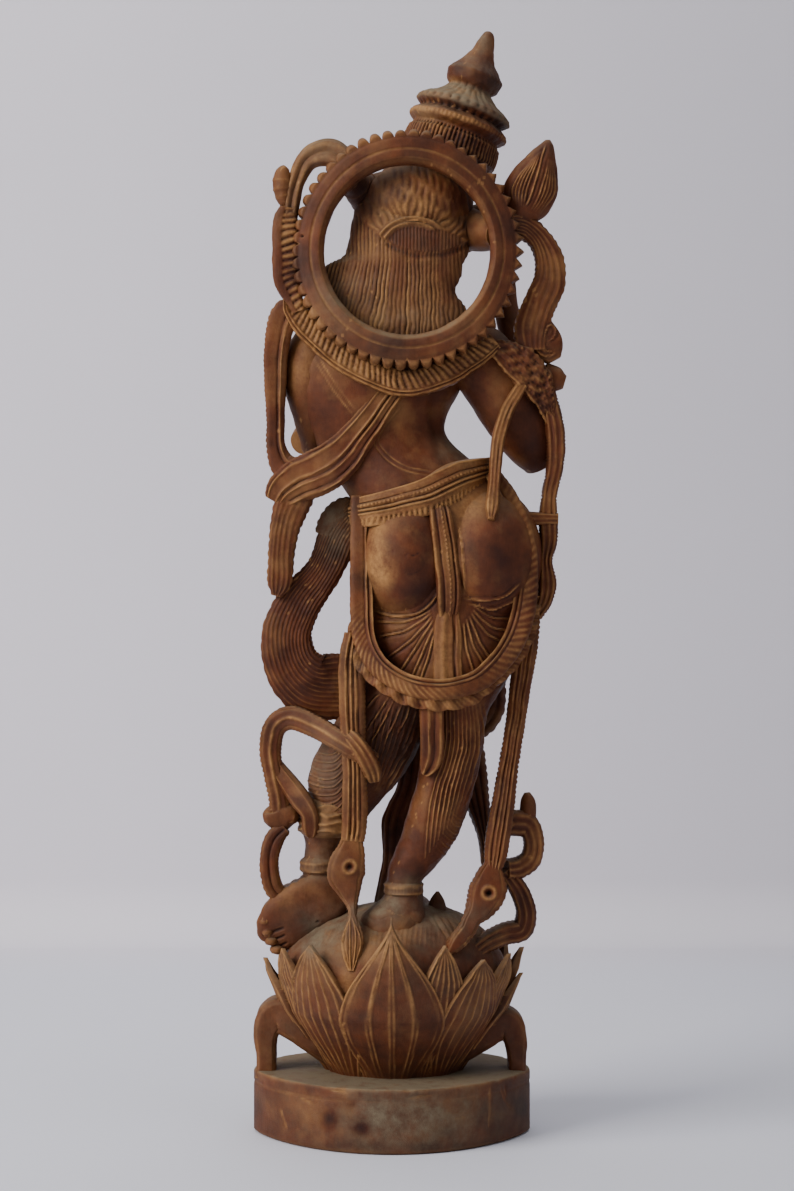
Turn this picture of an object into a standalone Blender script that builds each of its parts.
"""Krishna playing the flute, carved with its lotus, scarves, halo and oval plinth from one block of wood.

The photographed side is the back, toward -Y. The figure faces +Y. The underside of the plinth is at z = 0.
"""
import math

import bmesh
import bpy
from mathutils import Matrix, Vector

MM = 0.001
# Outlines are measured on the plane y = SIGHT_PLANE as seen from a point behind the figure.
SIGHT_PLANE = -10.0
SIGHT_DISTANCE = 656.0
SIGHT_X = 1.4
SIGHT_Z = 146.3

# Plinth: an oval with slightly pointed ends
PLINTH_HALF_LENGTH = 37.8
PLINTH_HALF_DEPTH = 29.8
PLINTH_HEIGHT = 17.3
PLINTH_POINT_NEAR = 1.45
PLINTH_POINT_FAR = 1.05
PLINTH_STEPS = 40
PLINTH_CHAMFER = 0.7

# Stained wood: base colour, roughness, and the angle past which an edge stays sharp
WOOD_COLOUR = (0.23, 0.095, 0.055, 1.0)
WOOD_ROUGHNESS = 0.55
SHARP_ANGLE = 38.0

# Halo ring
HALO_X = 4.1
HALO_Z = 238.4
HALO_Y = -18.4
HALO_BEND = 5.0
HALO_REACH = 31.0
HALO_LEAN = 0.04
HALO_TALL = 1.03
HALO_BEADS = 46
HALO_BEAD_IN = 29.0
HALO_BEAD_OUT = 31.7
# Ring section without the beads: distance from the ring's centre, depth from its middle
HALO_SECTION = [(22.2, 2.8), (22.2, -0.8), (23.6, -2.6), (28.4, -2.6)]

# Crown: tilted axis through a point on the lower disc
CROWN_FOOT = (18.1, 0.0, 274.6)
CROWN_TILT = 18.6
CROWN_SIDES = 28
# Height along the axis, radius
CROWN_PROFILE = [
    (-15.0, 0.0), (-15.0, 9.5), (-9.8, 11.6), (-8.4, 13.4), (-3.6, 13.2), (-2.2, 11.8), (-0.6, 13.7),
    (0.6, 13.8), (2.4, 11.4), (4.2, 13.5), (5.2, 13.2), (8.0, 8.6), (10.4, 5.9), (12.0, 7.3), (14.4, 7.9),
    (16.6, 6.1), (18.8, 4.5), (21.5, 3.2), (24.5, 2.2), (26.6, 1.4), (27.5, 0.0),
]

# Lotus cup: height, half length, half depth
CUP = [
    (17.0, 18.5, 14.5), (24.0, 22.5, 18.0), (34.0, 29.0, 23.6), (44.0, 32.4, 26.4), (50.0, 33.2, 27.0),
    (56.0, 33.0, 26.6), (64.0, 32.4, 25.6),
]
LOTUS_X = 0.5
# Seed pod inside the cup: x, z, y, half width, half depth of level sections
POD = [
    (0.5, 16.5, 0.0, 16.5, 12.5), (0.5, 24.0, 0.0, 19.5, 15.0), (0.5, 34.0, 0.0, 24.5, 19.6),
    (0.5, 44.0, 0.0, 27.0, 21.6), (0.5, 50.0, 0.0, 27.0, 21.6), (1.0, 55.0, 0.0, 24.0, 19.2),
    (1.6, 60.2, 0.0, 18.8, 14.0), (2.6, 63.2, 0.0, 10.4, 7.0),
]
# Petals: angle from the back, half angle, height of the foot, of the tip, lift off the cup, flare of the tip
PETALS = [
    (-14.0, 10.0, 20.0, 56.0, 0.2, -1.5), (25.0, 11.0, 20.0, 52.0, 0.2, 0.5), (-62.0, 11.0, 20.0, 50.5, 0.2, 1.0),
    (66.0, 11.0, 20.0, 49.0, 0.2, 1.5), (-112.0, 12.0, 20.0, 50.0, 0.2, 1.0), (112.0, 12.0, 20.0, 50.0, 0.2, 1.0),
    (-158.0, 12.0, 20.0, 52.0, 0.2, 0.5), (158.0, 12.0, 20.0, 52.0, 0.2, 0.5),
    (-88.0, 17.0, 20.0, 47.4, 1.8, 2.2), (86.0, 17.0, 20.0, 43.4, 2.2, 2.4), (96.0, 12.0, 24.0, 49.6, 0.0, 2.4),
    (-135.0, 19.0, 19.0, 51.0, 1.4, 1.0), (135.0, 19.0, 19.0, 51.0, 1.4, 1.0),
    (-41.0, 18.0, 19.0, 54.0, 1.6, 0.0), (45.0, 18.0, 19.0, 50.5, 1.6, 1.0),
    (180.0, 25.0, 18.0, 58.0, 2.4, 0.0), (0.0, 25.0, 18.0, 61.0, 2.4, -1.0),
]
PETAL_ROWS = 8
PETAL_DEPTH = 3.2

# Swept forms: x, z as seen, y, half width, half thickness. Level forms keep their sections horizontal.
TORSO = [
    (14.0, 118.0, -4.0, 9.0, 8.0), (14.5, 125.0, -5.5, 16.5, 11.5), (15.0, 134.0, -6.0, 20.0, 12.0),
    (15.8, 144.0, -6.0, 21.0, 12.6), (16.0, 155.0, -6.5, 21.4, 13.4), (14.4, 164.0, -6.0, 21.0, 13.4),
    (10.4, 172.0, -5.0, 21.6, 12.5), (5.9, 178.5, -4.0, 21.2, 11.5), (0.5, 184.0, -3.0, 19.5, 10.8),
    (-3.5, 189.5, -2.5, 18.4, 10.8), (-4.9, 195.0, -2.5, 20.1, 11.3), (-4.4, 201.0, -2.5, 22.8, 12.0),
    (-3.6, 208.0, -2.5, 24.2, 12.2), (-2.0, 214.5, -2.5, 23.0, 11.6), (0.0, 220.5, -2.5, 18.0, 10.0),
    (2.6, 226.0, -2.0, 11.0, 8.5), (5.0, 236.0, -1.0, 8.0, 8.0),
]
NEAR_LEG = [
    (23.0, 140.0, -5.0, 12.5, 11.5), (20.5, 126.0, -5.5, 11.5, 11.5), (16.9, 115.0, -7.0, 9.2, 10.5),
    (16.1, 106.0, -8.0, 8.5, 9.5), (14.8, 97.0, -8.5, 7.9, 8.6), (12.4, 88.5, -8.5, 8.0, 8.0),
    (9.8, 81.0, -8.5, 7.6, 7.2), (6.2, 74.5, -8.5, 6.6, 6.2), (3.3, 69.0, -8.5, 4.8, 5.2),
    (3.2, 65.5, -8.5, 5.4, 5.4), (1.6, 61.0, -8.5, 8.0, 6.6), (1.4, 56.0, -8.5, 7.6, 6.4),
]
FAR_LEG = [
    (6.5, 136.0, -4.0, 12.0, 11.5), (2.4, 122.0, -4.0, 12.4, 11.0), (-2.4, 112.5, -3.0, 12.8, 10.8),
    (-6.6, 104.5, -2.0, 13.6, 10.2), (-9.8, 97.5, -1.0, 12.8, 9.4), (-13.2, 90.0, 0.0, 9.4, 8.2),
    (-16.4, 84.0, 0.0, 7.6, 7.2), (-18.2, 79.0, 0.5, 5.3, 5.4), (-19.0, 73.0, 0.5, 4.9, 5.0),
    (-19.2, 67.0, 0.5, 5.2, 5.6),
]
FAR_HEM = [
    (-16.5, 91.0, 0.0, 6.6, 6.6), (-16.8, 88.8, 0.0, 8.4, 8.6), (-17.0, 83.4, 0.0, 8.0, 8.3),
    (-17.4, 81.6, 0.0, 5.6, 5.6),
]
FAR_ANKLET = [
    (-19.0, 76.0, 0.5, 4.6, 4.8), (-19.1, 74.9, 0.5, 5.6, 6.0), (-19.2, 72.6, 0.5, 5.6, 6.0),
    (-19.2, 71.4, 0.5, 4.6, 4.8),
]
NEAR_ANKLET = [
    (3.3, 69.6, -8.5, 4.4, 4.8), (3.2, 68.7, -8.5, 5.2, 5.8), (3.2, 66.4, -8.5, 5.2, 5.8),
    (3.2, 65.4, -8.5, 4.5, 4.8),
]
FAR_FOOT = [
    (-12.6, 68.0, 0.5, 3.8, 5.0), (-16.6, 66.0, 0.5, 6.8, 6.2), (-22.2, 63.0, 0.5, 7.6, 6.4),
    (-27.2, 59.8, 0.5, 7.6, 6.0), (-30.4, 55.8, 0.5, 6.6, 5.0), (-31.8, 52.6, 0.5, 3.8, 3.6),
]
# A foot along the depth, thin up and down
NEAR_FOOT = [
    (1.6, 60.5, -14.0, 3.0, 3.4), (1.8, 61.5, -11.0, 5.6, 5.0), (2.4, 62.0, -2.0, 6.0, 5.2),
    (4.0, 62.5, 8.0, 6.6, 4.2), (5.4, 61.8, 15.0, 6.2, 3.4), (6.0, 61.2, 19.0, 3.8, 2.0),
]
HEAD = [
    (6.0, 234.0, 2.0, 5.5, 6.0), (6.6, 238.0, 3.5, 9.5, 9.0), (7.0, 243.0, 3.5, 12.0, 11.0),
    (7.6, 250.0, 2.5, 13.6, 12.5), (8.6, 257.0, 1.5, 13.6, 12.8), (10.0, 262.0, 1.0, 11.5, 11.4),
    (11.0, 266.0, 0.5, 7.5, 8.0),
]
HAIR = [
    (4.0, 212.0, -9.0, 15.0, 4.5), (3.4, 218.0, -9.5, 18.8, 5.5), (1.4, 223.6, -9.5, 18.9, 6.0),
    (-0.4, 228.0, -9.5, 17.6, 6.4), (0.2, 232.2, -9.0, 18.6, 6.4), (1.0, 235.4, -8.6, 18.4, 6.8),
    (3.8, 238.0, -8.0, 16.8, 7.2), (4.8, 243.0, -6.5, 16.5, 8.4), (5.8, 250.0, -4.0, 15.8, 9.0),
    (8.2, 256.0, -2.0, 13.4, 9.0), (9.6, 260.5, 0.0, 10.0, 7.0),
]
NEAR_ARM = [
    (17.5, 217.0, -3.5, 6.5, 6.5), (22.4, 211.6, -4.0, 9.0, 8.0), (28.4, 203.4, -4.5, 9.4, 7.8),
    (33.5, 194.4, -4.0, 8.7, 7.2), (37.3, 187.2, -2.5, 7.1, 6.6), (40.2, 182.2, 0.0, 5.0, 5.0),
]
NEAR_FOREARM = [
    (38.6, 184.0, 0.0, 4.6, 4.6), (39.6, 190.0, 3.0, 4.8, 4.6), (38.4, 200.0, 5.0, 4.6, 4.4),
    (34.6, 211.0, 6.5, 4.0, 4.0), (31.2, 222.0, 7.5, 3.4, 3.6), (30.2, 234.0, 8.5, 3.0, 3.2),
    (29.8, 243.0, 9.5, 3.2, 3.2),
]
NEAR_HAND = [
    (30.0, 240.5, 9.5, 2.6, 2.6), (28.0, 245.0, 10.5, 3.8, 3.6), (25.0, 248.0, 11.0, 4.0, 3.8),
    (20.0, 247.0, 12.0, 3.4, 3.4), (15.5, 245.5, 13.0, 2.0, 2.4),
]
FAR_ARM = [
    (-17.0, 217.0, -3.0, 6.0, 6.5), (-20.6, 211.5, -3.0, 7.6, 7.8), (-21.8, 203.0, -2.5, 7.2, 7.6),
    (-21.0, 195.0, -1.0, 5.8, 6.6), (-20.8, 189.0, 1.0, 4.4, 5.4), (-21.8, 185.5, 3.0, 2.6, 3.6),
]
FAR_FOREARM = [
    (-24.6, 187.5, 2.0, 3.0, 3.4), (-22.0, 190.0, 6.0, 4.2, 4.2), (-14.0, 201.0, 11.0, 4.2, 4.0),
    (-6.0, 215.0, 15.0, 3.8, 3.6), (-1.0, 228.0, 17.0, 3.2, 3.2), (1.0, 236.0, 18.0, 3.0, 3.0),
]
FAR_HAND = [
    (0.6, 233.0, 18.0, 2.6, 2.6), (2.0, 238.0, 18.5, 3.8, 3.4), (6.0, 241.5, 18.5, 3.8, 3.2),
    (10.5, 242.5, 18.0, 2.2, 2.4),
]
FLUTE = [
    (-3.0, 238.5, 17.2, 1.7, 1.7), (12.0, 241.8, 15.6, 1.7, 1.7), (32.0, 247.0, 10.5, 1.7, 1.7),
]
NOSE = [
    (7.6, 250.5, 13.5, 1.2, 1.6), (7.3, 246.5, 15.0, 1.8, 2.0), (7.2, 244.4, 14.6, 2.2, 2.2),
    (7.2, 243.0, 13.0, 1.6, 1.4),
]
SIDE_BLOCK = [
    (17.0, 246.5, 0.0, 5.0, 5.5), (23.0, 244.4, -6.0, 4.6, 5.4), (29.0, 243.5, -13.0, 4.6, 4.0),
]
SIDE_ORNAMENT = [
    (-2.0, 253.6, 0.0, 5.5, 7.5), (-7.2, 254.8, -2.0, 5.0, 5.4), (-11.0, 258.2, -8.0, 3.2, 3.4),
    (-15.0, 259.5, -14.0, 2.4, 3.0),
]

# Flat bands that follow a line and carry ridges on their outer face
WAIST_SASH = [
    (-8.4, 173.0, -12.0, 2.6, 2.4), (-8.2, 160.0, -13.0, 2.9, 3.0), (-8.2, 146.0, -14.0, 3.0, 3.2),
    (-7.6, 135.5, -15.0, 3.0, 3.2), (-4.2, 128.2, -17.0, 2.9, 3.2), (1.6, 123.6, -19.0, 2.8, 3.2),
    (9.0, 121.2, -20.5, 2.8, 3.2), (17.0, 121.4, -20.5, 2.8, 3.2), (25.0, 124.6, -18.5, 2.9, 3.2),
    (31.4, 131.8, -15.0, 3.1, 3.2), (35.4, 140.4, -12.0, 3.2, 3.2), (36.8, 151.0, -10.5, 3.2, 3.0),
    (35.6, 162.0, -9.5, 3.5, 3.0), (31.9, 171.4, -9.0, 3.1, 2.8), (27.2, 179.0, -8.5, 2.2, 2.4),
]
RUFFLE = [
    (-10.0, 139.0, -13.0, 1.6, 2.2), (-8.6, 130.5, -15.0, 2.6, 2.4), (-3.0, 124.0, -17.5, 2.8, 2.6),
    (4.0, 119.8, -19.5, 2.8, 2.6), (12.0, 118.0, -20.5, 2.6, 2.6), (20.0, 119.0, -19.5, 2.6, 2.6),
    (26.4, 123.4, -17.0, 2.4, 2.6), (32.6, 130.0, -13.5, 2.8, 2.6), (37.0, 138.4, -10.5, 2.4, 2.4),
    (38.4, 146.0, -9.0, 1.6, 2.0),
]
RUFFLE_PLEATS = 19
# Thickness between two pleats as a share of the full thickness
PLEAT_DIP = 0.75
SEAT_STRIP = [
    (14.0, 171.5, -17.5, 3.2, 2.6), (14.6, 160.0, -18.0, 3.2, 2.8), (15.4, 149.0, -18.5, 3.2, 2.8),
    (16.0, 141.0, -18.0, 3.4, 2.6), (16.4, 131.0, -17.5, 3.8, 2.4), (16.4, 123.0, -18.5, 3.6, 2.4),
]
BELT = [
    (-10.6, 168.4, -8.0, 3.6, 2.2), (-6.0, 169.0, -15.2, 4.2, 2.2), (2.0, 170.6, -17.6, 4.5, 2.2),
    (10.0, 173.1, -17.6, 4.9, 2.2), (17.4, 177.0, -15.6, 5.2, 2.2), (24.4, 179.6, -10.0, 3.8, 2.2),
    (25.4, 179.4, -1.0, 3.4, 2.2), (18.0, 176.6, 6.6, 4.0, 2.2), (8.0, 173.0, 8.6, 4.4, 2.2),
    (-3.0, 170.0, 6.6, 4.2, 2.2), (-10.4, 168.4, 0.0, 3.6, 2.2),
]
HANGING_FOLD = [
    (10.6, 120.0, -18.0, 3.2, 2.8), (10.8, 112.0, -18.0, 3.2, 2.8), (10.9, 105.0, -17.5, 3.1, 2.6),
    (10.2, 101.0, -16.5, 2.6, 2.4), (8.9, 98.4, -15.5, 0.9, 1.4),
]
FAR_STRAP = [
    (-9.8, 136.0, -13.5, 3.0, 2.6), (-10.8, 127.0, -14.0, 3.5, 2.8), (-10.5, 112.0, -14.2, 3.4, 2.8),
    (-10.1, 100.0, -13.4, 3.1, 2.8), (-10.0, 88.0, -12.0, 3.4, 2.8), (-10.5, 80.5, -11.5, 3.1, 2.6),
]
FAR_BUD = [
    (-10.6, 82.0, -11.5, 2.4, 2.4), (-11.0, 78.0, -11.5, 3.7, 2.8), (-12.0, 74.0, -12.0, 4.9, 3.0),
    (-12.3, 70.6, -12.0, 5.0, 2.8), (-11.6, 67.0, -12.5, 3.4, 2.6), (-10.8, 63.0, -13.5, 1.6, 2.4),
    (-10.5, 59.5, -15.5, 1.1, 2.4), (-10.5, 53.0, -18.5, 2.9, 2.4), (-10.8, 45.0, -20.5, 1.0, 2.4),
]
NEAR_STRAP = [
    (36.8, 140.0, -9.0, 3.0, 2.6), (35.9, 132.0, -9.5, 3.2, 2.8), (34.6, 122.0, -9.5, 2.7, 2.6),
    (33.0, 110.0, -9.5, 2.5, 2.6), (31.4, 100.0, -9.5, 2.6, 2.6), (30.0, 90.0, -9.5, 3.0, 2.8),
    (28.7, 82.0, -9.5, 3.2, 2.8), (27.9, 76.0, -9.5, 2.9, 2.6), (27.2, 72.0, -9.8, 2.0, 2.4),
]
NEAR_BUD = [
    (27.4, 74.5, -9.8, 1.8, 2.2), (26.6, 71.2, -10.2, 3.6, 2.6), (25.9, 67.0, -10.6, 5.0, 3.0),
    (24.0, 62.6, -11.4, 4.1, 2.8), (21.6, 59.2, -12.6, 2.4, 2.6), (20.0, 56.0, -14.4, 2.3, 2.4),
    (16.6, 51.6, -17.6, 2.1, 2.4),
]
LOOP_RIBBON = [
    (-5.6, 102.0, -13.0, 2.5, 2.6), (-10.0, 104.8, -15.6, 2.6, 2.6), (-15.0, 107.8, -14.0, 2.7, 2.4),
    (-21.0, 111.2, -9.5, 2.9, 2.4), (-27.2, 113.4, -6.0, 3.1, 2.6), (-31.4, 111.0, -4.0, 3.0, 2.6),
    (-32.7, 105.0, -3.0, 2.9, 2.6), (-31.8, 98.5, -3.0, 2.7, 2.6), (-30.5, 92.5, -3.0, 2.7, 2.6),
    (-30.0, 88.0, -3.0, 2.8, 2.4),
]
LOOP_STRAND = [
    (-31.4, 101.0, -2.5, 1.8, 2.2), (-27.8, 96.0, -4.0, 2.5, 2.4), (-24.6, 91.4, -6.0, 2.8, 2.4),
    (-22.2, 87.6, -7.0, 2.2, 2.4), (-21.8, 82.6, -6.5, 2.0, 2.2),
]
KNOT_RIBBON = [
    (-16.0, 112.6, -10.0, 2.0, 2.2), (-12.8, 110.0, -15.5, 2.4, 2.6), (-9.4, 106.6, -16.8, 2.4, 2.6),
    (-6.0, 101.0, -15.4, 2.4, 2.4), (-5.2, 97.6, -12.5, 1.8, 1.8),
]
CURL = [
    (-25.5, 86.5, -4.0, 1.6, 2.2), (-27.4, 87.0, -3.4, 3.4, 2.8), (-30.8, 86.8, -3.0, 4.0, 3.0),
    (-33.4, 86.6, -3.0, 2.6, 2.6), (-34.6, 86.4, -3.0, 1.2, 1.6),
]
LOWER_RIBBON = [
    (-28.6, 83.8, -3.0, 1.8, 2.4), (-31.4, 81.0, -3.0, 2.6, 2.6), (-32.9, 76.0, -3.0, 2.5, 2.6),
    (-32.7, 70.6, -3.0, 2.5, 2.6), (-31.2, 66.8, -2.0, 2.4, 2.6), (-27.6, 64.6, -1.0, 1.8, 2.4),
]
LARGE_SCARF = [
    (-9.0, 170.0, -1.0, 4.6, 3.0), (-13.8, 163.0, -1.5, 5.6, 3.2), (-18.3, 153.0, -2.0, 5.0, 3.2),
    (-24.5, 145.0, -2.5, 6.0, 3.2), (-28.2, 136.6, -3.0, 6.7, 3.2), (-27.0, 128.0, -3.0, 7.6, 3.2),
    (-21.6, 122.4, -3.0, 8.8, 3.2), (-14.0, 122.0, -2.0, 8.9, 3.2), (-6.0, 124.0, -1.0, 6.8, 3.0),
]
FAN_END = [
    (1.0, 203.0, -12.4, 3.4, 2.0), (-3.6, 196.4, -12.6, 3.8, 2.2), (-9.2, 189.0, -12.2, 4.6, 2.4),
    (-14.8, 182.6, -11.0, 5.9, 2.6), (-20.2, 179.3, -9.6, 6.2, 2.8), (-25.0, 177.2, -8.4, 5.8, 3.0),
    (-29.0, 174.4, -7.6, 5.0, 3.0), (-30.8, 171.6, -7.0, 3.4, 2.6),
]
FAN_TAIL = [
    (-23.4, 178.0, -8.0, 4.4, 2.8), (-26.6, 171.4, -7.2, 4.8, 3.0), (-28.8, 164.4, -6.6, 4.0, 3.0),
    (-29.8, 157.0, -6.0, 3.5, 2.8), (-30.0, 147.8, -5.4, 3.2, 2.6),
]
SHOULDER_STRAP = [
    (-22.6, 222.0, -12.5, 2.6, 2.2), (-28.4, 222.2, -10.5, 3.7, 2.4), (-30.9, 213.6, -8.6, 3.3, 2.6),
    (-31.3, 203.0, -7.4, 2.9, 2.6), (-31.2, 194.0, -7.0, 2.4, 2.6), (-31.2, 186.8, -7.0, 2.5, 2.6),
    (-29.2, 181.4, -7.6, 3.4, 2.6), (-25.0, 179.6, -8.6, 3.4, 2.6),
]
COLLAR = [
    (-27.0, 225.4, -12.0, 2.6, 2.4), (-22.2, 217.2, -13.0, 2.9, 2.4), (-13.2, 209.4, -13.8, 3.0, 2.6),
    (-3.2, 204.4, -14.0, 3.1, 2.8), (4.2, 202.9, -14.0, 3.1, 2.8), (13.0, 205.0, -13.6, 3.0, 2.6),
    (22.0, 209.8, -12.6, 2.7, 2.4), (27.6, 214.0, -11.4, 2.2, 2.2),
]
ARMLET = [
    (26.0, 214.6, -10.4, 3.4, 2.8), (31.4, 212.0, -11.0, 4.6, 3.0), (36.8, 207.6, -10.4, 4.9, 3.0),
    (40.4, 201.4, -9.4, 4.2, 3.0), (42.6, 194.6, -8.4, 3.2, 2.8),
]
OUTER_STRAP = [
    (41.2, 203.0, -8.0, 2.0, 2.6), (43.0, 196.0, -8.0, 2.4, 2.8), (44.2, 188.0, -8.0, 2.5, 2.8),
    (43.8, 180.4, -8.0, 2.2, 2.6), (42.4, 173.4, -8.0, 2.0, 2.6), (42.1, 167.0, -8.0, 2.4, 2.6),
    (42.2, 161.0, -8.0, 2.3, 2.6), (41.4, 155.6, -8.2, 1.7, 2.6), (41.9, 149.6, -8.4, 2.4, 2.6),
    (41.0, 144.6, -8.6, 2.0, 2.4), (38.9, 140.6, -8.8, 1.4, 2.0),
]
STRAP_KNOT = [
    (34.0, 167.2, -9.5, 1.7, 2.6), (38.6, 167.0, -9.0, 1.8, 2.6), (44.4, 166.8, -8.2, 1.7, 2.4),
]
TASSEL_STRAP = [
    (35.0, 203.0, -11.5, 1.6, 2.2), (31.4, 196.8, -12.6, 1.8, 2.4), (28.9, 189.6, -13.6, 1.8, 2.4),
    (28.1, 183.0, -15.0, 1.7, 2.4), (27.5, 176.0, -17.0, 1.6, 2.6), (27.0, 169.6, -19.0, 1.8, 2.8),
    (26.7, 166.2, -20.4, 0.9, 2.0),
]
UPPER_ARCH = [
    (-11.6, 262.6, -15.0, 3.0, 2.4), (-15.6, 265.3, -14.0, 3.7, 2.4), (-19.4, 265.4, -13.4, 3.5, 2.4),
    (-23.2, 263.0, -12.4, 2.8, 2.4), (-25.8, 257.6, -12.0, 2.3, 2.4), (-26.9, 252.0, -12.0, 2.2, 2.4),
    (-27.6, 246.0, -12.0, 1.9, 2.4),
]
ARCH_KNOB = [
    (-28.4, 261.6, -12.0, 1.0, 1.6), (-29.2, 260.2, -12.0, 2.2, 2.4), (-29.4, 256.6, -12.0, 2.7, 2.8),
    (-29.0, 252.8, -12.0, 1.9, 2.4), (-28.4, 251.0, -12.0, 0.9, 1.6),
]
TASSEL = [
    (-27.9, 250.6, -12.0, 2.2, 2.4), (-28.6, 246.6, -12.0, 3.4, 3.0), (-28.6, 239.0, -12.5, 3.5, 3.2),
    (-28.4, 231.6, -12.5, 3.4, 3.0), (-27.0, 227.2, -13.0, 2.3, 2.4),
]
TASSEL_RIBS = 9
LOTUS_BUD = [
    (32.6, 245.2, -9.0, 3.0, 3.4), (35.2, 248.6, -9.0, 6.3, 4.6), (37.0, 254.0, -9.0, 7.5, 5.6),
    (38.0, 259.0, -9.0, 6.8, 5.2), (39.8, 264.0, -9.0, 4.4, 3.6), (41.3, 267.2, -9.0, 2.3, 2.0),
    (42.0, 269.0, -9.0, 0.7, 0.6),
]
BUD_STEM = [
    (31.0, 246.0, -12.0, 3.0, 3.0), (36.0, 245.2, -9.5, 3.2, 3.0), (39.8, 242.2, -8.5, 3.1, 3.0),
    (42.3, 237.0, -8.5, 3.7, 3.0), (42.4, 230.6, -8.5, 4.3, 3.0), (39.5, 224.0, -9.0, 4.4, 3.0),
    (37.6, 218.0, -9.5, 4.6, 3.0), (37.6, 212.0, -10.0, 4.0, 3.0),
]
STEM_END = [
    (37.4, 220.6, -9.0, 3.0, 2.8), (40.0, 216.6, -9.0, 4.6, 3.2), (42.3, 212.4, -9.0, 4.1, 3.2),
    (43.8, 209.6, -9.0, 1.9, 2.2),
]
STRAP_KNOB = [
    (40.6, 206.4, -8.5, 3.0, 2.6), (44.2, 204.5, -8.0, 3.3, 3.0), (46.6, 203.7, -8.0, 1.8, 2.0),
]
SCROLL_LINK = [
    (29.8, 84.8, -6.0, 3.2, 2.4), (33.6, 85.0, -5.0, 3.5, 2.4), (36.8, 84.2, -4.0, 3.1, 2.4),
    (38.2, 80.0, -4.0, 2.7, 2.4), (37.5, 75.6, -4.0, 2.8, 2.4), (34.6, 73.2, -4.5, 2.9, 2.4),
    (30.6, 72.6, -6.5, 2.4, 2.4),
]
SCROLL_NUB = [
    (36.2, 84.0, -4.0, 2.4, 2.2), (36.7, 88.4, -4.0, 2.3, 2.2), (36.6, 91.4, -4.0, 1.9, 2.0),
    (36.4, 93.2, -4.0, 0.8, 1.2),
]
SCROLL_LOBE = [
    (30.0, 72.6, -6.0, 1.8, 2.4), (32.8, 69.2, -4.5, 2.3, 2.6), (35.1, 65.0, -3.5, 2.6, 2.6),
    (36.2, 60.6, -3.5, 2.7, 2.6), (35.0, 56.4, -3.5, 2.9, 2.6), (30.6, 55.2, -5.0, 2.9, 2.6),
    (26.0, 53.0, -8.0, 2.6, 2.6), (22.0, 50.0, -11.0, 2.2, 2.4),
]
LEFT_FOOT_SCROLL = [
    (-21.0, 26.6, 0.0, 3.6, 7.0), (-26.6, 32.0, 0.0, 4.6, 6.0), (-31.2, 33.6, 0.0, 4.6, 5.0),
    (-33.7, 29.2, 0.0, 3.5, 4.6), (-33.7, 23.0, 0.0, 2.7, 4.4), (-33.8, 17.0, 0.0, 2.9, 4.2),
]
RIGHT_FOOT_SCROLL = [
    (22.6, 26.6, 0.0, 3.8, 7.0), (27.6, 31.0, 0.0, 4.4, 6.0), (31.2, 31.2, 0.0, 4.2, 5.0),
    (33.1, 27.0, 0.0, 3.2, 4.6), (33.6, 21.0, 0.0, 2.4, 4.4), (33.6, 17.0, 0.0, 2.4, 4.2),
]
POD_PEAK = [
    (12.2, 60.0, -2.0, 3.0, 2.6), (12.2, 64.0, -2.0, 2.1, 2.0), (12.3, 66.6, -2.0, 0.4, 0.5),
]
# Cloth on the front
FRONT_PLEAT = [
    (12.0, 172.0, 6.0, 4.6, 3.0), (9.0, 150.0, 9.6, 5.6, 3.0), (7.0, 120.0, 9.6, 5.8, 3.0),
    (6.4, 98.0, 9.6, 4.6, 3.0), (2.8, 86.4, 9.6, 5.6, 3.0), (2.2, 76.0, 9.6, 4.9, 3.0),
    (1.0, 67.0, 9.6, 5.4, 3.0), (0.0, 58.0, 9.6, 6.4, 3.0),
]
SIDE_PLEAT = [
    (24.6, 131.0, 3.0, 4.6, 3.0), (26.2, 120.0, 4.6, 4.6, 3.0), (24.6, 114.4, 4.6, 5.0, 3.0),
    (20.2, 109.0, 5.6, 4.2, 3.0), (20.6, 103.0, 5.6, 4.6, 3.0), (21.6, 98.0, 5.6, 4.2, 3.0), (23.2, 90.0, 4.6, 3.2, 3.0), (24.9, 82.0, 1.6, 1.9, 3.0),
    (26.0, 75.0, -4.0, 2.0, 2.8),
]
FRONT_SASH = [
    (-10.0, 166.0, 3.0, 3.0, 2.6), (-6.0, 148.0, 8.0, 3.0, 2.8), (4.0, 133.0, 11.0, 3.0, 2.8),
    (16.0, 129.0, 11.0, 3.0, 2.8), (28.0, 138.0, 8.0, 3.0, 2.8), (35.0, 152.0, 1.0, 3.0, 2.6),
]
NECKLACE = [
    (-14.0, 218.0, 5.0, 1.8, 2.0), (-9.0, 207.0, 9.4, 2.2, 2.2), (0.0, 200.0, 10.6, 2.4, 2.2),
    (9.0, 206.0, 9.4, 2.2, 2.2), (15.0, 217.0, 5.0, 1.8, 2.0),
]

# Eye holes of the two buds: x, z as seen, radius
EYE_HOLES = [(-11.6, 73.2, 0.9), (26.0, 66.4, 0.95)]
EYE_DEPTH = (-30.0, 0.0)

# Triangles kept, and the height over which the crown keeps all of its own
TRIANGLES = 9900
CROWN_BASE = 270.0


def clear_scene():
    for thing in list(bpy.data.objects):
        bpy.data.objects.remove(thing, do_unlink=True)


def seen(x, z, y):
    """Carry a point measured on the sight plane to its own depth."""
    spread = (SIGHT_DISTANCE + y) / (SIGHT_DISTANCE + SIGHT_PLANE)
    return Vector((SIGHT_X + (x - SIGHT_X) * spread, y, SIGHT_Z + (z - SIGHT_Z) * spread))


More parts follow.
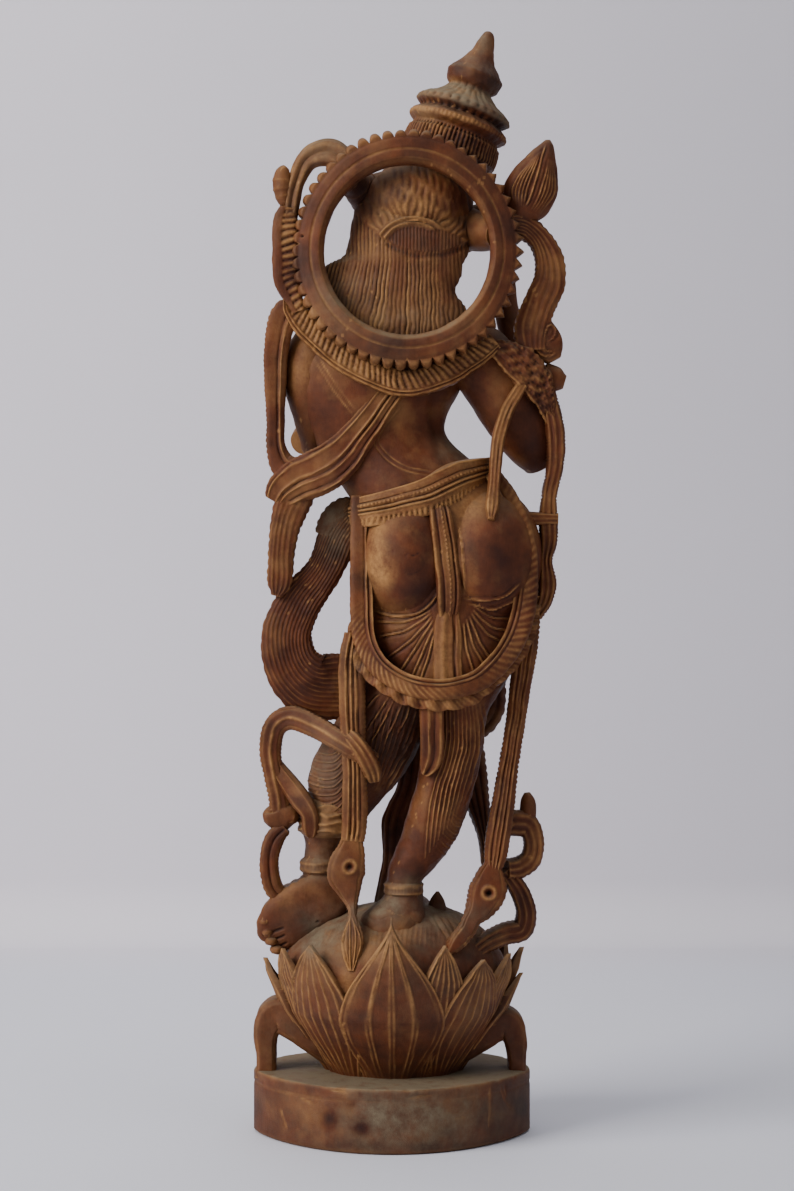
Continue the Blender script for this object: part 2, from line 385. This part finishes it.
def spline(rows, count, closed=False):
    """Even steps along a smooth curve through rows of numbers, the first three of them a point."""
    size = len(rows)
    spans = size if closed else size - 1
    dense = []
    for i in range(spans):
        if closed:
            p = [rows[(i + k - 1) % size] for k in range(4)]
        else:
            p = [rows[min(max(i + k - 1, 0), size - 1)] for k in range(4)]
        for step in range(12):
            t = step / 12
            dense.append([
                0.5 * (2 * b + (c - a) * t + (2 * a - 5 * b + 4 * c - d) * t * t
                       + (3 * b - a - 3 * c + d) * t * t * t)
                for a, b, c, d in zip(*p)
            ])
    dense.append(list(rows[0] if closed else rows[-1]))
    lengths = [0.0]
    for a, b in zip(dense, dense[1:]):
        lengths.append(lengths[-1] + math.dist(a[:3], b[:3]))
    picked = []
    at = 0
    for i in range(count):
        want = lengths[-1] * i / (count if closed else count - 1)
        while at < len(dense) - 2 and lengths[at + 1] < want:
            at += 1
        part = (want - lengths[at]) / max(lengths[at + 1] - lengths[at], 1e-9)
        picked.append([a + (b - a) * part for a, b in zip(dense[at], dense[at + 1])])
    return picked


def round_section(sides):
    return [(math.cos(2 * math.pi * i / sides), math.sin(2 * math.pi * i / sides)) for i in range(sides)]


def ridged_section(ridges, groove=0.45):
    """Band section: ridges along the outer face, a plain back."""
    front = [(-1 + i / ridges, -1.0 if i % 2 else -1.0 + groove) for i in range(2 * ridges + 1)]
    return front + [(0.8, 0.9), (-0.8, 0.9)]


def solid(name, rings, wrap=False):
    """Close a stack of equal rings into one body."""
    mesh = bmesh.new()
    loops = []
    for ring in rings:
        verts = [mesh.verts.new(point * MM) for point in ring]
        loops.append([mesh.edges.new((a, b)) for a, b in zip(verts, verts[1:] + verts[:1])])
    pairs = list(zip(loops, loops[1:] + loops[:1])) if wrap else list(zip(loops, loops[1:]))
    size = len(loops[0])
    for low, high in pairs:
        for i in range(size):
            a, b = corner_pair(low, i)
            c, d = corner_pair(high, i)
            mesh.faces.new((a, b, d, c))
    if not wrap:
        bmesh.ops.contextual_create(mesh, geom=loops[0])
        bmesh.ops.contextual_create(mesh, geom=loops[-1])
    return finish(name, mesh)


def corner_pair(loop, index):
    """The two ends of an edge in ring order."""
    edge = loop[index]
    after = loop[(index + 1) % len(loop)]
    last = edge.verts[0] if edge.verts[0] in after.verts else edge.verts[1]
    return edge.other_vert(last), last


def finish(name, mesh):
    bmesh.ops.recalc_face_normals(mesh, faces=mesh.faces)
    data = bpy.data.meshes.new(name)
    mesh.to_mesh(data)
    mesh.free()
    thing = bpy.data.objects.new(name, data)
    bpy.context.scene.collection.objects.link(thing)
    return thing


def sweep(name, rows, section, rings, level=False, upright=False, closed=False, pleated=False):
    """Carry a section along a line of rows, each with its own half width and half thickness."""
    placed = [list(seen(row[0], row[1], row[2])) + list(row[3:]) for row in rows]
    line = spline(placed, rings, closed)
    middle = sum((Vector(row[:3]) for row in line), Vector()) / len(line)
    stack = []
    for i, row in enumerate(line):
        here = Vector(row[:3])
        before = Vector(line[i - 1][:3]) if i or closed else here
        after = Vector(line[(i + 1) % rings][:3]) if i < rings - 1 or closed else here
        along = (after - before).normalized()
        inward = Vector((0, 1, 0))
        if upright:
            inward = Vector((0, 0, 1))
        if closed:
            inward = (middle - here) * Vector((1, 1, 0))
        if level:
            across = Vector((1, 0, 0))
        else:
            inward = (inward - along * inward.dot(along)).normalized()
            across = along.cross(inward)
        scale = PLEAT_DIP if pleated and i % 2 else 1
        stack.append([here + across * u * row[3] + inward * v * row[4] * scale for u, v in section])
    return solid(name, stack, closed)


def turned(name, profile, sides, foot, tilt):
    """Turn a profile about a tilted axis with Blender's spin."""
    mesh = bmesh.new()
    verts = [mesh.verts.new((radius * MM, 0, height * MM)) for height, radius in profile]
    edges = [mesh.edges.new(pair) for pair in zip(verts, verts[1:])]
    bmesh.ops.spin(mesh, geom=verts + edges, cent=(0, 0, 0), axis=(0, 0, 1), angle=2 * math.pi,
                   steps=sides, use_merge=True, use_duplicate=False)
    bmesh.ops.remove_doubles(mesh, verts=mesh.verts, dist=0.00001)
    place = Matrix.Translation(Vector(foot) * MM) @ Matrix.Rotation(math.radians(tilt), 4, "Y")
    mesh.transform(place)
    return finish(name, mesh)


def plinth():
    """Oval block, pointed a little at both ends, with its lower edge eased."""
    rings = []
    for height, inset in ((0, PLINTH_CHAMFER), (PLINTH_CHAMFER, 0), (PLINTH_HEIGHT, 0)):
        ring = []
        for i in range(PLINTH_STEPS):
            angle = 2 * math.pi * i / PLINTH_STEPS
            point = PLINTH_POINT_NEAR if angle > math.pi else PLINTH_POINT_FAR
            side = math.copysign(abs(math.sin(angle)) ** point, math.sin(angle))
            ring.append(Vector((
                (PLINTH_HALF_LENGTH - inset) * math.cos(angle),
                (PLINTH_HALF_DEPTH - inset) * side,
                height,
            )))
        rings.append(ring)
    return solid("plinth", rings)


def halo():
    """Bent ring with a bevelled inner edge and a row of beads around the outside."""
    rings = []
    for i in range(2 * HALO_BEADS):
        angle = math.pi * i / HALO_BEADS
        outer = HALO_BEAD_OUT if i % 2 else HALO_BEAD_IN
        ring = []
        for radius, depth in HALO_SECTION + [(outer, -1.2), (outer, 2.0)]:
            x = radius * math.sin(angle)
            bend = HALO_BEND * (x / HALO_REACH) ** 2
            rise = HALO_TALL * radius * math.cos(angle)
            depth += HALO_Y + bend + HALO_LEAN * rise
            ring.append(Vector((HALO_X + x, depth, HALO_Z + rise)))
        rings.append(ring)
    return solid("halo", rings, wrap=True)


def cup_at(height):
    """Half length and half depth of the lotus cup at a height."""
    for low, high in zip(CUP, CUP[1:]):
        if height <= high[0]:
            part = (height - low[0]) / (high[0] - low[0])
            return low[1] + (high[1] - low[1]) * part, low[2] + (high[2] - low[2]) * part
    return CUP[-1][1], CUP[-1][2]


def petal(index, angle, half_angle, foot, tip, lift, flare):
    """Pointed leaf lying on the cup, its back sunk toward the pod."""
    across = (-1.0, -0.62, 0.0, 0.62, 1.0)
    rings = []
    for row in range(PETAL_ROWS):
        t = row / (PETAL_ROWS - 1)
        height = foot + (tip - foot) * t
        length, depth = cup_at(height)
        width = half_angle * (0.40 + 0.60 * math.sin(math.pi * min(t / 0.62, 1) / 2)) * (1 - t ** 3.2) ** 0.75
        width = max(width, 0.6)
        out = lift * math.sin(math.pi * (0.15 + 0.8 * t)) + flare * t * t
        ring = []
        for side, sink in [(u, 0.0) for u in across] + [(1.0, 1.0), (0.0, 1.0), (-1.0, 1.0)]:
            turn = math.radians(angle + side * width)
            off = out - 1.1 * side * side - PETAL_DEPTH * sink
            ring.append(Vector((
                LOTUS_X + (length + off) * math.sin(turn),
                -(depth + off) * math.cos(turn),
                height,
            )))
        rings.append(ring)
    return solid(f"petal_{index}", rings)


def ball(name, x, z, y, half_width, half_depth, half_height):
    mesh = bmesh.new()
    bmesh.ops.create_uvsphere(mesh, u_segments=16, v_segments=9, radius=1)
    mesh.transform(Matrix.Translation(seen(x, z, y) * MM)
                   @ Matrix.Diagonal((half_width * MM, half_depth * MM, half_height * MM, 1)))
    return finish(name, mesh)


def eye_cutter(index, x, z, radius):
    """Hidden rod along the depth that bores an eye hole."""
    near = seen(x, z, EYE_DEPTH[0])
    far = seen(x, z, EYE_DEPTH[1])
    ring = [Vector((radius * c, 0, radius * s)) for c, s in round_section(12)]
    rod = solid(f"eye_{index}", [[near + point for point in ring], [far + point for point in ring]])
    rod.hide_render = True
    rod.display_type = "WIRE"
    return rod


def combine(base, others, operation):
    """Apply Boolean modifiers one after another."""
    for other in others:
        step = base.modifiers.new(other.name, "BOOLEAN")
        step.object = other
        step.operation = operation
        step.solver = "MANIFOLD"
        step.show_viewport = True
        step.show_render = True
        other.hide_render = True
        other.display_type = "WIRE"


def stained_wood():
    """Dark reddish brown wood with a soft sheen."""
    wood = bpy.data.materials.new("stained_wood")
    wood.use_nodes = True
    shader = wood.node_tree.nodes["Principled BSDF"]
    shader.inputs["Base Color"].default_value = WOOD_COLOUR
    shader.inputs["Roughness"].default_value = WOOD_ROUGHNESS
    shader.inputs["Metallic"].default_value = 0.0
    return wood


def shell_volume(faces):
    """Signed volume inside a set of faces."""
    total = 0.0
    for face in faces:
        first = face.verts[0].co
        for a, b in zip(face.verts[1:], face.verts[2:]):
            total += first.dot(a.co.cross(b.co)) / 6
    return total


def settle(base):
    """Apply the modifiers, then fill the hollows that overlapping forms enclose."""
    seen_faces = set()
    graph = bpy.context.evaluated_depsgraph_get()
    data = bpy.data.meshes.new_from_object(base.evaluated_get(graph))
    mesh = bmesh.new()
    mesh.from_mesh(data)
    hollows = []
    for start in mesh.faces:
        if start in seen_faces:
            continue
        island = [start]
        seen_faces.add(start)
        for face in island:
            for edge in face.edges:
                for other in edge.link_faces:
                    if other not in seen_faces:
                        seen_faces.add(other)
                        island.append(other)
        if shell_volume(island) < 0:
            hollows += island
    bmesh.ops.delete(mesh, geom=hollows, context="FACES")
    bmesh.ops.triangulate(mesh, faces=mesh.faces)
    share = TRIANGLES / len(mesh.faces)
    mesh.to_mesh(data)
    mesh.free()
    base.modifiers.clear()
    base.data = data
    data.materials.clear()
    data.materials.append(stained_wood())
    data.shade_smooth()
    data.set_sharp_from_angle(angle=math.radians(SHARP_ANGLE))
    lighten = base.modifiers.new("lighten", "DECIMATE")
    lighten.decimate_type = "COLLAPSE"
    lighten.use_collapse_triangulate = True
    lighten.ratio = share
    soft = base.vertex_groups.new(name="soft")
    for vert in data.vertices:
        height = vert.co.z / MM
        crisp = height < PLINTH_HEIGHT + 0.1 or height > CROWN_BASE
        soft.add([vert.index], 0.0 if crisp else 1.0, "REPLACE")
    lighten.vertex_group = soft.name
    lighten.vertex_group_factor = 1.0


def build():
    clear_scene()
    oval = round_section(12)
    body = round_section(20)
    limb = round_section(14)
    fine = ridged_section(3)
    plain = ridged_section(2)
    base = plinth()
    base.name = "krishna_figure"
    forms = [
        halo(),
        turned("crown", CROWN_PROFILE, CROWN_SIDES, CROWN_FOOT, CROWN_TILT),
        sweep("pod", POD, round_section(24), 9, level=True),
        sweep("torso", TORSO, body, 24, level=True),
        sweep("near_leg", NEAR_LEG, limb, 17, level=True),
        sweep("far_leg", FAR_LEG, limb, 16, level=True),
        sweep("far_hem", FAR_HEM, limb, 4, level=True),
        sweep("far_anklet", FAR_ANKLET, oval, 4, level=True),
        sweep("near_anklet", NEAR_ANKLET, oval, 4, level=True),
        sweep("far_foot", FAR_FOOT, oval, 8),
        sweep("near_foot", NEAR_FOOT, oval, 8, upright=True),
        sweep("head", HEAD, body, 10, level=True),
        sweep("hair", HAIR, body, 12, level=True),
        sweep("near_arm", NEAR_ARM, limb, 9),
        sweep("near_forearm", NEAR_FOREARM, oval, 10),
        sweep("near_hand", NEAR_HAND, oval, 7),
        sweep("far_arm", FAR_ARM, limb, 9),
        sweep("far_forearm", FAR_FOREARM, oval, 9, upright=True),
        sweep("far_hand", FAR_HAND, oval, 6),
        sweep("flute", FLUTE, round_section(8), 3, upright=True),
        sweep("nose", NOSE, round_section(6), 4, level=True),
        sweep("side_block", SIDE_BLOCK, round_section(8), 4, upright=True),
        sweep("side_ornament", SIDE_ORNAMENT, round_section(8), 6, upright=True),
        ball("near_seat", 26.4, 155.6, -8.0, 13.2, 15.4, 15.4),
        ball("cap", 7.6, 252.4, -4.6, 14.4, 11.6, 10.6),
        ball("far_seat", 4.8, 155.6, -8.0, 12.8, 15.4, 15.4),
        sweep("waist_sash", WAIST_SASH, fine, 34),
        sweep("ruffle", RUFFLE, plain, 2 * RUFFLE_PLEATS + 1, pleated=True),
        sweep("seat_strip", SEAT_STRIP, fine, 9),
        sweep("belt", BELT, fine, 26, closed=True),
        sweep("hanging_fold", HANGING_FOLD, plain, 8),
        sweep("far_strap", FAR_STRAP, fine, 10),
        sweep("far_bud", FAR_BUD, plain, 14),
        sweep("near_strap", NEAR_STRAP, fine, 12),
        sweep("near_bud", NEAR_BUD, plain, 11),
        sweep("loop_ribbon", LOOP_RIBBON, plain, 22),
        sweep("loop_strand", LOOP_STRAND, plain, 8),
        sweep("knot_ribbon", KNOT_RIBBON, plain, 7),
        sweep("curl", CURL, oval, 7),
        sweep("lower_ribbon", LOWER_RIBBON, plain, 12),
        sweep("large_scarf", LARGE_SCARF, ridged_section(5), 20),
        sweep("fan_end", FAN_END, fine, 13),
        sweep("fan_tail", FAN_TAIL, plain, 8),
        sweep("shoulder_strap", SHOULDER_STRAP, plain, 13),
        sweep("collar", COLLAR, plain, 18),
        sweep("armlet", ARMLET, plain, 8),
        sweep("outer_strap", OUTER_STRAP, plain, 18),
        sweep("strap_knot", STRAP_KNOT, plain, 4),
        sweep("tassel_strap", TASSEL_STRAP, plain, 10),
        sweep("upper_arch", UPPER_ARCH, plain, 14),
        sweep("arch_knob", ARCH_KNOB, oval, 6),
        sweep("tassel", TASSEL, plain, 2 * TASSEL_RIBS + 1, pleated=True),
        sweep("lotus_bud", LOTUS_BUD, oval, 11),
        sweep("bud_stem", BUD_STEM, fine, 16),
        sweep("stem_end", STEM_END, plain, 6),
        sweep("strap_knob", STRAP_KNOB, oval, 5),
        sweep("scroll_link", SCROLL_LINK, plain, 13),
        sweep("scroll_nub", SCROLL_NUB, oval, 5),
        sweep("scroll_lobe", SCROLL_LOBE, plain, 14),
        sweep("left_foot_scroll", LEFT_FOOT_SCROLL, plain, 10),
        sweep("right_foot_scroll", RIGHT_FOOT_SCROLL, plain, 10),
        sweep("pod_peak", POD_PEAK, round_section(8), 4, level=True),
        sweep("front_pleat", FRONT_PLEAT, fine, 14, level=True),
        sweep("side_pleat", SIDE_PLEAT, plain, 10),
        sweep("front_sash", FRONT_SASH, plain, 12),
        sweep("necklace", NECKLACE, plain, 9),
    ]
    forms += [petal(i, *row) for i, row in enumerate(PETALS)]
    combine(base, forms, "UNION")
    cutters = [eye_cutter(i, *row) for i, row in enumerate(EYE_HOLES)]
    combine(base, cutters, "DIFFERENCE")
    settle(base)
    for form in forms + cutters:
        bpy.data.objects.remove(form, do_unlink=True)


build()
